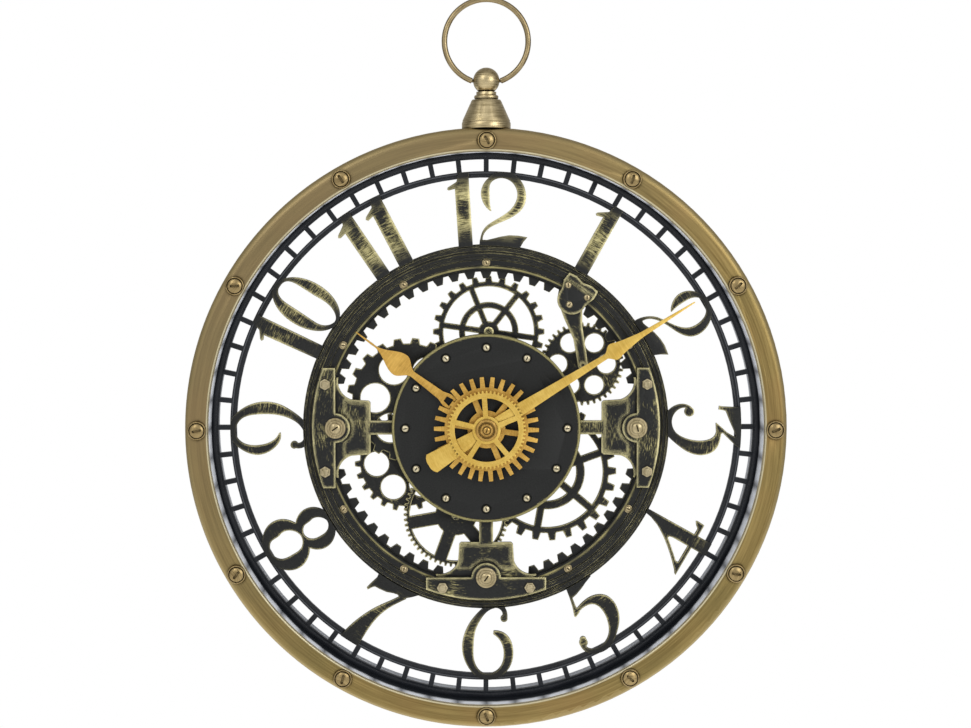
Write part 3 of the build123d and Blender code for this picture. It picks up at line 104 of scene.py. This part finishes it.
class Finish:
    """A node material and short ways to add to it."""

    def __init__(self, name, metallic, specular=0.5):
        self.material = bpy.data.materials.new(name)
        self.material.use_nodes = True
        self.tree = self.material.node_tree
        self.tree.nodes.clear()
        self.shader = self.node("ShaderNodeBsdfPrincipled")
        self.shader.inputs["Metallic"].default_value = metallic
        self.shader.inputs["Specular IOR Level"].default_value = specular
        output = self.node("ShaderNodeOutputMaterial")
        self.tree.links.new(self.shader.outputs["BSDF"], output.inputs["Surface"])
        self.place = self.node("ShaderNodeTexCoord").outputs["Object"]
        self.geometry = self.node("ShaderNodeNewGeometry")

    def node(self, kind, inputs=None, **settings):
        made = self.tree.nodes.new(kind)
        for key, value in settings.items():
            setattr(made, key, value)
        for key, value in (inputs or {}).items():
            self.put(made.inputs[key], value)
        return made

    def put(self, socket, value):
        """Links a socket to a node's output, or sets its value."""
        if isinstance(value, bpy.types.NodeSocket):
            self.tree.links.new(value, socket)
        else:
            socket.default_value = value

    def set(self, **inputs):
        """Sets the shader's inputs, with _ for a space in their names."""
        for key, value in inputs.items():
            self.put(self.shader.inputs[key.replace("_", " ")], value)

    def math(self, operation, a, b=0.0, c=0.0):
        made = self.node("ShaderNodeMath", {0: a, 1: b, 2: c}, operation=operation)
        return made.outputs[0]

    def vector(self, operation, a, b=(0, 0, 0)):
        made = self.node("ShaderNodeVectorMath", {0: a, 1: b}, operation=operation)
        return made.outputs["Value" if operation in ("LENGTH", "DOT_PRODUCT") else "Vector"]

    def span(self, value, low, high, bottom=0.0, top=1.0):
        """Maps low..high to bottom..top, held at both ends."""
        made = self.node(
            "ShaderNodeMapRange",
            {"Value": value, "From Min": low, "From Max": high, "To Min": bottom, "To Max": top},
            clamp=True,
        )
        return made.outputs["Result"]

    def mix(self, factor, a, b):
        """A colour between a and b. Colours are linear triples or sockets."""
        made = self.node("ShaderNodeMix", {"Factor": factor}, data_type="RGBA")
        for socket, value in ((made.inputs[6], a), (made.inputs[7], b)):
            self.put(socket, value if isinstance(value, bpy.types.NodeSocket) else (*value, 1))
        return made.outputs[2]

    def noise(self, vector, scale, detail=3.0, roughness=0.55):
        """Fractal noise about 0.5, with scale in waves per metre."""
        made = self.node(
            "ShaderNodeTexNoise",
            {"Vector": vector, "Scale": scale, "Detail": detail, "Roughness": roughness},
        )
        return made.outputs["Fac"]

    def offset(self, centre):
        """The way here from a centre, and the radius about the y axis through it."""
        offset = self.vector("SUBTRACT", self.place, tuple(centre))
        return offset, self.vector("LENGTH", self.vector("MULTIPLY", offset, (1, 0, 1)))

    def polar(self, centre, along, across):
        """Coordinates in which noise is stretched round a centre on the y axis.
        along and across are waves round one radian, and per metre of radius and depth."""
        offset, radius = self.offset(centre)
        ray = self.vector("NORMALIZE", self.vector("MULTIPLY", offset, (1, 0, 1)))
        turned = self.vector("MULTIPLY", ray, (along, 0, along))
        depth = self.node("ShaderNodeSeparateXYZ", {0: offset}).outputs["Y"]
        rise = self.math("MULTIPLY", self.math("SUBTRACT", radius, depth), across)
        lift = self.node("ShaderNodeCombineXYZ", {"Y": rise}).outputs[0]
        return self.vector("ADD", turned, lift), radius

    def from_hours(self, ring_r):
        """The distance from the nearest of twelve places at this radius from the dial centre."""
        offset, radius = self.offset(DIAL)
        split = self.node("ShaderNodeSeparateXYZ", {0: offset}).outputs
        angle = self.math("ARCTAN2", split["X"], split["Z"])
        around = self.math("WRAP", angle, HALF_HOUR, -HALF_HOUR)
        sides = {
            "X": self.math("MULTIPLY", around, ring_r),
            "Y": self.math("SUBTRACT", radius, ring_r),
        }
        return self.vector("LENGTH", self.node("ShaderNodeCombineXYZ", sides).outputs[0])

    def lathe(self, across, around=60.0):
        """Coordinates in which noise is stretched round the upright axis of the crown."""
        return self.vector("MULTIPLY", self.place, (around, around, across))

    def edge(self, radius, low=0.02, high=0.35):
        """1 on edges and in corners, 0 further than this many mm from them."""
        soft = self.node("ShaderNodeBevel", {"Radius": radius * MM}, samples=4).outputs["Normal"]
        agree = self.vector("DOT_PRODUCT", soft, self.geometry.outputs["Normal"])
        return self.span(self.math("SUBTRACT", 1.0, agree), low, high)

    def recess_shade(self, depth, low=0.45, high=0.9):
        """1 deep in slots and corners of about this many mm, 0 on open faces; used to paint shade
        into them.
        """
        open_sky = self.node("ShaderNodeAmbientOcclusion", {"Distance": depth * MM}, samples=6)
        return self.span(open_sky.outputs["AO"], low, high, 1.0, 0.0)

    def sum(self, *weighted):
        """The sum of (value, weight) pairs."""
        total = 0.0
        for value, weight in weighted:
            total = self.math("MULTIPLY_ADD", value, weight, total)
        return total

    def facing(self):
        """1 where the surface faces the front of the clock, 0 on its sides."""
        return self.vector("DOT_PRODUCT", self.geometry.outputs["Normal"], (0, -1, 0))

    def bump(self, height, distance, strength=1.0):
        """Relief of that height in metres."""
        made = self.node(
            "ShaderNodeBump", {"Height": height, "Distance": distance, "Strength": strength}
        )
        self.put(self.shader.inputs["Normal"], made.outputs["Normal"])


def brushed_ring(name, centre, dark, light, warm, cool, sheen_grey, wear_and_sheen, painted_highlight, highlight_r):
    """Antique bronze brushed round the dial: fine lines, with slow changes of hue, a painted
    sheen that turns it grey towards the upper left, a painted highlight that makes its slopes
    pale, a painted highlight line on its inner edge inside highlight_r, and painted shade with
    dark patina in its recesses."""
    f = Finish(name, metallic=0.9)
    lines, radius = f.polar(centre, 4, 750)
    fine = f.noise(lines, 1.0, detail=4, roughness=0.7)
    broad = f.noise(f.polar(centre, 2.0, 320)[0], 1.0, detail=3, roughness=0.6)
    patches = f.noise(f.place, 13.0, detail=2)
    streak = f.span(f.sum((fine, 0.65), (broad, 0.35)), 0.40, 0.60)
    colour = f.mix(streak, dark, light)
    colour = f.mix(f.span(patches, 0.50, 0.70, 0, 0.5), colour, warm)
    colour = f.mix(f.span(patches, 0.48, 0.32, 0, 0.5), colour, cool)
    # Painted sheen: the bronze turns grey towards the upper left, the side the light comes from.
    upper_left = f.vector("DOT_PRODUCT", f.offset(centre)[0], (-0.7, 0, 0.7))
    colour = f.mix(f.span(upper_left, -0.05, 0.22, 0, 0.6), colour, sheen_grey)
    # Painted highlight: the bronze turns paler on the slopes that turn away from the front.
    colour = f.mix(f.span(f.facing(), 0.97, 0.75, 0, 0.6), colour, wear_and_sheen)
    # Painted highlight: a pale line round the bezel's inner edge.
    inside = f.span(radius, highlight_r + 0.6 * MM, highlight_r)
    pale = f.math("MULTIPLY", inside, f.span(fine, 0.3, 0.5, 0.55, 1.0))
    colour = f.mix(pale, colour, painted_highlight)
    # Painted shade and dark patina darken the recesses.
    f.set(
        Base_Color=f.mix(f.recess_shade(3.0), colour, tuple(0.12 * part for part in dark)),
        Roughness=f.span(fine, 0.3, 0.7, 0.38, 0.50),
    )
    f.bump(fine, 0.00003, 0.4)
    return f.material


def aged_black(name, reach, gilt_and_light, rim, fade=False, ring_r=None, bead_r=None):
    """Satin black metal, dry-brushed with pale gold. The brush leaves gold reach mm in from
    the edges, more with a larger gilt_and_light, and a bright arris of wear, more with a larger
    rim.
    For the figures both also hold painted light, larger on the upper ones.
    With fade it leaves the ends of a figure dark, next to the rings that hold it. Outside
    ring_r, and in a thin bead at bead_r, everything is bright with wear."""
    f = Finish(name, metallic=0.3, specular=0.3)
    lines, radius = f.polar(DIAL, 24, 1000)
    bristle = f.noise(lines, 1.0, detail=4, roughness=0.7)
    cover = f.noise(f.place, 45.0, detail=2)
    speck = f.noise(f.place, 1000.0, detail=3, roughness=0.7)
    near_edge = f.edge(reach, 0.0, 0.12)
    level = f.sum((bristle, 0.5), (cover, 0.38), (speck, 0.12), (near_edge, 0.26))
    # For the upper figures this level is higher: painted light from above.
    level = f.math("ADD", level, gilt_and_light)
    gilded = f.span(level, 0.58, 0.68)
    gilded = f.math("MULTIPLY", gilded, f.span(f.facing(), 0.3, 0.9, 0.15, 1.0))
    if fade:
        foot = f.span(radius, FIGURE_FOOT + 2 * MM, FIGURE_FOOT + 22 * MM)
        head = f.span(radius, FIGURE_HEAD - 3 * MM, FIGURE_HEAD - 19 * MM)
        ends = f.math("MINIMUM", foot, head)
        gilded = f.math("MULTIPLY", gilded, ends)
    wear_and_sheen = f.math("MULTIPLY", f.edge(0.45, 0.02, 0.25), f.span(speck, 0.38, 0.58, 0.0, rim))
    amount = f.math("MAXIMUM", gilded, wear_and_sheen)
    if ring_r:
        outside = f.span(radius, ring_r, ring_r + 0.3 * MM)
        ring = f.math("MULTIPLY", outside, f.span(speck, 0.35, 0.6, 0.45, 1.0))
        amount = f.math("MAXIMUM", amount, ring)
    if bead_r:
        from_bead = f.math("ABSOLUTE", f.math("SUBTRACT", radius, bead_r))
        on_bead = f.span(from_bead, 1.0 * MM, 0.4 * MM)
        bead = f.math("MULTIPLY", on_bead, f.span(cover, 0.35, 0.6, 0.25, 0.9))
        amount = f.math("MAXIMUM", amount, bead)
    leaf = f.mix(f.span(level, 0.62, 0.82), DULL_GOLD, PALE_GOLD)
    base = f.mix(f.span(speck, 0.35, 0.7), SOOT, tuple(2.0 * part for part in SOOT))
    f.set(
        Base_Color=f.mix(amount, base, leaf),
        Roughness=f.span(speck, 0.3, 0.7, 0.36, 0.52),
        Metallic=f.span(amount, 0, 1, 0.3, 0.9),
    )
    f.bump(f.sum((speck, 0.6), (bristle, 0.4)), 0.00005, 0.5)
    return f.material


def turned_brass(name, centre, dark, light, upright=False, dark_ring_r=None):
    """Antique brass turned in a lathe, about the y axis or the crown's upright axis,
    with painted shade and dark patina in its slots and grooves, and a near-black ring round each
    of the twelve screws, just beyond its head, at the radius dark_ring_r."""
    f = Finish(name, metallic=0.95)
    lines = f.lathe(1500.0) if upright else f.polar(centre, 3, 900)[0]
    fine = f.noise(lines, 1.0, detail=4, roughness=0.65)
    cloud = f.noise(f.place, 90.0, detail=3)
    colour = f.mix(f.span(f.sum((fine, 0.7), (cloud, 0.3)), 0.36, 0.64), dark, light)
    if dark_ring_r:
        # A near-black ring round each screw, just beyond its head.
        beyond_head = f.span(f.from_hours(dark_ring_r), SCREW_R, SCREW_R + 0.3 * MM)
        colour = f.mix(beyond_head, colour, SOOT)
    # Painted shade and dark patina darken the slots and grooves.
    f.set(
        Base_Color=f.mix(f.recess_shade(2.0), colour, tuple(0.1 * part for part in dark)),
        Roughness=f.span(fine, 0.3, 0.7, 0.25, 0.40),
    )
    f.bump(fine, 0.00004, 0.5)
    return f.material


def gold(name, dark, light):
    """Satin gold lacquer with faint lines across it."""
    f = Finish(name, metallic=0.7)
    fine = f.noise(f.polar(DIAL, 9, 800)[0], 1.0, detail=4, roughness=0.6)
    cloud = f.noise(f.place, 55.0, detail=3)
    grain = f.noise(f.place, 1600.0, detail=2)
    colour = f.mix(f.span(f.sum((fine, 0.45), (cloud, 0.55)), 0.38, 0.62), dark, light)
    # Painted shade darkens the recesses.
    f.set(
        Base_Color=f.mix(f.recess_shade(2.0, 0.35, 0.75), colour, tuple(0.1 * part for part in dark)),
        Roughness=f.span(grain, 0.3, 0.7, 0.36, 0.5),
    )
    f.bump(f.sum((fine, 0.5), (grain, 0.5)), 0.00003, 0.5)
    return f.material


def gloss_black(name):
    """Blue-black lacquer with a few fine specks, and painted highlights on edges and the ridge."""
    f = Finish(name, metallic=0.0, specular=0.35)
    speck = f.noise(f.place, 1300.0, detail=3, roughness=0.7)
    cloud = f.noise(f.place, 30.0, detail=2)
    # Painted highlights: pale on the edges, and a thin pale line along the ridge beside the
    # groove.
    painted_highlight = f.math("MULTIPLY", f.edge(0.5), f.span(speck, 0.40, 0.58, 0.15, 0.7))
    from_ridge = f.math("ABSOLUTE", f.math("SUBTRACT", f.offset(DIAL)[1], TRACK_RIDGE_R))
    painted_highlight = f.math("MAXIMUM", painted_highlight, f.span(from_ridge, 0.6 * MM, 0.2 * MM, 0.0, 0.35))
    base = f.mix(f.span(cloud, 0.35, 0.65), (0.008, 0.0095, 0.0125), (0.014, 0.0165, 0.022))
    f.set(
        Base_Color=f.mix(painted_highlight, base, (0.20, 0.21, 0.23)),
        Roughness=f.span(speck, 0.3, 0.7, 0.22, 0.34),
    )
    return f.material


def painted_reflection_liner(name):
    """The bezel's inner lining, with a painted reflection of the track: dark beside the track, and
    towards the front pale blue-grey opposite each window of the track and dark opposite each of
    its bars."""
    f = Finish(name, metallic=0.0, specular=0.3)
    offset = f.node("ShaderNodeSeparateXYZ", {0: f.offset(DIAL)[0]}).outputs
    angle = f.math("ARCTAN2", offset["X"], offset["Z"])
    minute = f.math("MULTIPLY", angle, 60 / math.tau)
    wobble = f.noise(f.place, 60.0, detail=2)
    from_bar = f.math("PINGPONG", minute, 0.5)
    window = f.span(from_bar, 0.0, 0.26, 0.25, 1.0)
    # the pale zone of painted reflection is narrower towards the bottom of the dial
    start = f.span(offset["Z"], -0.21, -0.09, LINER_BACK - 0.42 * LINER_DEPTH, LINER_BACK)
    depth = f.math("MULTIPLY_ADD", wobble, 0.004, f.math("SUBTRACT", offset["Y"], start))
    front = f.span(depth, 0.0, -0.004)
    # Painted reflection: pale light opposite each window, dark opposite each bar and beside the
    # track.
    lit = f.math("MULTIPLY", window, front)
    rim = f.span(f.facing(), 0.2, 0.5)  # the rim beside the bezel is bare bronze
    f.set(
        Base_Color=f.mix(rim, f.mix(lit, LINER_REFLECTED_TRACK, LINER_REFLECTED_LIGHT), BARE_BRONZE),
        Roughness=f.span(wobble, 0.3, 0.7, 0.3, 0.45),
    )
    return f.material


def plastic(name, dark, light, roughness, spark=1100.0):
    """Moulded plastic with a spark-eroded grain."""
    f = Finish(name, metallic=0.0, specular=0.45)
    grain = f.noise(f.place, spark, detail=3, roughness=0.6)
    cloud = f.noise(f.place, 40.0, detail=2)
    f.set(
        Base_Color=f.mix(f.span(cloud, 0.35, 0.65), dark, light),
        Roughness=f.span(grain, 0.3, 0.7, roughness, roughness + 0.15),
    )
    f.bump(grain, 0.00006, 0.6)
    return f.material


def plated(name, dark, light, roughness):
    """Plain metal with a cloudy plated or drawn surface."""
    f = Finish(name, metallic=1.0)
    cloud = f.noise(f.place, 120.0, detail=4)
    scratch = f.noise(f.vector("MULTIPLY", f.place, (200, 2400, 900)), 1.0, detail=3)
    f.set(
        Base_Color=f.mix(f.span(cloud, 0.35, 0.65), dark, light),
        Roughness=f.span(scratch, 0.3, 0.7, roughness, roughness + 0.16),
    )
    f.bump(scratch, 0.00003, 0.4)
    return f.material


# Painted reflection on the bezel's lining: the black track and its bars, and the light through its
# windows.
LINER_REFLECTED_TRACK = (0.012, 0.015, 0.02)
LINER_REFLECTED_LIGHT = (0.88, 0.91, 0.97)
BARE_BRONZE = (0.30, 0.25, 0.15)
PALE_GOLD = (0.88, 0.80, 0.44)
DULL_GOLD = (0.44, 0.39, 0.17)
SOOT = (0.013, 0.0135, 0.013)

BRONZE = brushed_ring(
    "bezel_bronze",
    DIAL,
    dark=(0.22, 0.155, 0.052),
    light=(0.37, 0.27, 0.10),
    warm=(0.33, 0.20, 0.075),
    cool=(0.22, 0.175, 0.065),
    # Painted light on the bezel: a greyer sheen, paler slopes and a pale line on the inner edge.
    sheen_grey=(0.27, 0.21, 0.12),
    wear_and_sheen=(0.60, 0.47, 0.22),
    painted_highlight=(0.72, 0.64, 0.42),
    highlight_r=BEZEL_HOLE_R + 0.0012,
)
CROWN = turned_brass("crown_brass", DIAL, (0.30, 0.23, 0.11), (0.80, 0.66, 0.39), upright=True)
BOW = turned_brass("bow_brass", BOW_CENTRE, (0.24, 0.18, 0.09), (0.48, 0.38, 0.21))
SCREW = turned_brass("screw_brass", DIAL, (0.24, 0.17, 0.075), (0.48, 0.36, 0.17))
SMALL_BRASS = turned_brass("small_brass", DIAL, (0.34, 0.27, 0.14), (0.66, 0.55, 0.33))
STUD = turned_brass("stud_brass", DIAL, (0.40, 0.33, 0.19), (0.72, 0.62, 0.40))
DISK_SCREW = turned_brass(
    "disk_screw_brass", DIAL, (0.50, 0.43, 0.27), (0.84, 0.75, 0.53), dark_ring_r=DISK_SCREW_R
)
CAP = turned_brass("cap_gold", DIAL, (0.42, 0.24, 0.06), (0.70, 0.44, 0.13))
TRACK = gloss_black("track_black")
LINER = painted_reflection_liner("liner_painted_reflection")
SLEEVE = plastic("sleeve_grey", (0.55, 0.58, 0.64), (0.62, 0.65, 0.70), 0.4)
FRAME = aged_black("frame_black", reach=0.9, gilt_and_light=-0.12, rim=0.9, bead_r=FRAME_BEAD_R)
TEETH = aged_black("teeth_black", reach=0.8, gilt_and_light=-0.10, rim=0.3)
BRIDGE = aged_black("bridge_black", reach=4.0, gilt_and_light=0.03, rim=0.95)
GEAR = aged_black("gear_black", reach=2.0, gilt_and_light=0.0, rim=0.7)
DISK = aged_black("disk_black", reach=1.4, gilt_and_light=-0.16, rim=0.9, ring_r=DISK_RIM_R)
BRIGHT_GOLD = gold("bright_gold", (0.66, 0.42, 0.078), (0.84, 0.585, 0.14))
OLD_GOLD = gold("old_gold", (0.50, 0.28, 0.05), (0.78, 0.48, 0.11))
CASE = plastic("case_plastic", (0.012, 0.012, 0.012), (0.02, 0.02, 0.02), 0.42)
KNOB = plastic("knob_plastic", (0.62, 0.61, 0.56), (0.70, 0.69, 0.64), 0.38)
JACKET = plastic("battery_jacket", (0.05, 0.11, 0.16), (0.07, 0.15, 0.21), 0.2, spark=300.0)
BOARD = plastic("board_green", (0.015, 0.10, 0.04), (0.02, 0.15, 0.06), 0.3)
COPPER = plated("coil_copper", (0.50, 0.20, 0.09), (0.66, 0.28, 0.13), 0.3)
MOVEMENT_BRASS = plated("movement_brass", (0.58, 0.40, 0.15), (0.75, 0.54, 0.24), 0.22)
ZINC = plated("zinc_steel", (0.42, 0.43, 0.45), (0.60, 0.60, 0.61), 0.3)

# How far in from its edges each figure is gilded, in mm, and how heavily. The dry-brushed gilt is
# real; its increase on the upper figures is painted light from above.
FIGURE_GILT_AND_LIGHT = {
    12: (4.0, 0.12),
    1: (3.8, 0.10),
    2: (2.6, 0.03),
    3: (2.4, 0.03),
    4: (2.6, 0.05),
    5: (2.8, 0.06),
    6: (2.8, 0.06),
    7: (2.6, 0.04),
    8: (2.6, 0.02),
    9: (3.0, 0.05),
    10: (3.4, 0.07),
    11: (4.0, 0.11),
}

LOOKS = {
    "bezel": BRONZE,
    "back_ring": BRONZE,
    "crown_base": CROWN,
    "crown_ball": CROWN,
    "bow": BOW,
    "bow_pins": BOW,
    "bezel_screws": SCREW,
    "bezel_washers": SCREW,
    "minute_track": TRACK,
    "bezel_sleeve": SLEEVE,
    "bezel_liner": LINER,
    "frame_ring": FRAME,
    "toothed_ring": TEETH,
    "bridges": BRIDGE,
    "straps": BRIDGE,
    "shield_plate": BRIDGE,
    "cock": BRIDGE,
    "carrier_plate": FRAME,
    "centre_disk": DISK,
    "minute_hand": BRIGHT_GOLD,
    "minute_wheel": BRIGHT_GOLD,
    "hour_hand": OLD_GOLD,
    "hour_gear": OLD_GOLD,
    "hub_cap": CAP,
    "frame_screws": SMALL_BRASS,
    "disk_screws": DISK_SCREW,
    "strap_screws": SMALL_BRASS,
    "strap_studs": STUD,
    "movement_case": CASE,
    "movement_cover": CASE,
    "set_arbor": KNOB,
    "battery": JACKET,
    "motor_coil": COPPER,
    "circuit_board": BOARD,
    "minute_arbor": MOVEMENT_BRASS,
    "hour_tube": MOVEMENT_BRASS,
    "bushing_nut": MOVEMENT_BRASS,
}
for number, (reach, gilt_and_light) in FIGURE_GILT_AND_LIGHT.items():
    LOOKS[f"numeral_{number}"] = aged_black(f"numeral_{number}_black", reach, gilt_and_light, 0.85, fade=True)

for node_name, piece in NODES.items():
    look = LOOKS.get(node_name, GEAR if node_name.startswith("gear_") else ZINC)
    piece.data.materials.clear()
    piece.data.materials.append(look)


# ------------------------------------------------- floor, light and camera

FLOOR_DROP = 1.5  # the clock hangs this far above the floor
FLOOR_HALF = 4.0


def plain(name, colour, roughness):
    material = bpy.data.materials.new(name)
    material.use_nodes = True
    shader = material.node_tree.nodes["Principled BSDF"]
    shader.inputs["Base Color"].default_value = (*colour, 1)
    shader.inputs["Roughness"].default_value = roughness
    shader.inputs["Emission Color"].default_value = (*colour, 1)
    shader.inputs["Emission Strength"].default_value = 0.55
    return material


floor_z = CAD_LOW.z - FLOOR_DROP
floor_mesh = bpy.data.meshes.new("floor")
floor_mesh.from_pydata(
    [(x, y, floor_z) for x, y in ((-1, -1), (1, -1), (1, 1), (-1, 1))],
    [],
    [(0, 1, 2, 3)],
)
for vertex in floor_mesh.vertices:
    vertex.co.x *= FLOOR_HALF
    vertex.co.y *= FLOOR_HALF
floor = bpy.data.objects.new("floor", floor_mesh)
floor_mesh.materials.append(plain("floor_white", (0.92, 0.92, 0.92), 0.8))
bpy.context.scene.collection.objects.link(floor)

# A white backdrop, with studio walls that are bright round the front and darker at the sides.
world = bpy.data.worlds.new("studio")
world.use_nodes = True
studio = world.node_tree
background = studio.nodes["Background"]
direction = studio.nodes.new("ShaderNodeTexCoord").outputs["Generated"]
split = studio.nodes.new("ShaderNodeSeparateXYZ")
studio.links.new(direction, split.inputs[0])
share = studio.nodes.new("ShaderNodeMapRange")
share.inputs["From Min"].default_value = -1.0
studio.links.new(split.outputs["Y"], share.inputs["Value"])
walls = studio.nodes.new("ShaderNodeValToRGB")
WALLS = [(0.0, 0.62), (0.15, 0.92), (0.33, 0.6), (0.5, 0.22), (0.68, 0.25), (1.0, 0.5)]
while len(walls.color_ramp.elements) < len(WALLS):
    walls.color_ramp.elements.new(0.5)
for stop, (position, level) in zip(walls.color_ramp.elements, WALLS):
    stop.position = position
    stop.color = (level, level, level, 1)
studio.links.new(share.outputs[0], walls.inputs[0])
backdrop = studio.nodes.new("ShaderNodeMix")
backdrop.data_type = "RGBA"
rays = studio.nodes.new("ShaderNodeLightPath")
studio.links.new(rays.outputs["Is Camera Ray"], backdrop.inputs[0])
studio.links.new(walls.outputs[0], backdrop.inputs[6])
backdrop.inputs[7].default_value = (1, 1, 1, 1)
studio.links.new(backdrop.outputs[2], background.inputs["Color"])
bpy.context.scene.world = world


def softbox(name, place, size, power):
    """A square area light aimed at the middle of the clock."""
    light = bpy.data.lights.new(name, "AREA")
    light.size = size
    light.energy = power
    lamp = bpy.data.objects.new(name, light)
    lamp.location = place
    lamp.rotation_mode = "QUATERNION"
    lamp.rotation_quaternion = (DIAL - Vector(place)).to_track_quat("-Z", "Y")
    bpy.context.scene.collection.objects.link(lamp)


softbox("key", (-1.1, -1.6, 1.1), 0.9, 6)
softbox("fill", (1.3, -1.5, 0.5), 1.2, 11)

# The camera stands a little left of the crown, at the height of the figure 12. It turns half
# way down to the middle of the picture, and its lens shift does the rest.
CAMERA_FROM_DIAL = Vector((-0.033, 0, 0.196))
CAMERA_DISTANCE = 1.5
MIDDLE_FROM_DIAL = Vector((-0.0011, 0, 0.0596))
TURN_SHARE = 0.5
VIEW_WIDTH = 0.8668  # what the picture's width spans at the front of the bezel

front = Vector((DIAL.x, BEZEL_LOW.y, DIAL.z))
camera_place = front + CAMERA_FROM_DIAL + Vector((0, -CAMERA_DISTANCE, 0))
middle = front + MIDDLE_FROM_DIAL
turned_to = (front + CAMERA_FROM_DIAL).lerp(middle, TURN_SHARE)
camera_data = bpy.data.cameras.new("camera")
camera = bpy.data.objects.new("camera", camera_data)
camera.location = camera_place
camera.rotation_mode = "QUATERNION"
camera.rotation_quaternion = (turned_to - camera_place).to_track_quat("-Z", "Y")
seen = camera.rotation_quaternion.inverted() @ (middle - camera_place)
camera_data.lens = camera_data.sensor_width * -seen.z / VIEW_WIDTH
camera_data.shift_x = seen.x / VIEW_WIDTH
camera_data.shift_y = seen.y / VIEW_WIDTH
bpy.context.scene.collection.objects.link(camera)
bpy.context.scene.camera = camera

bpy.context.scene.view_settings.view_transform = "Standard"
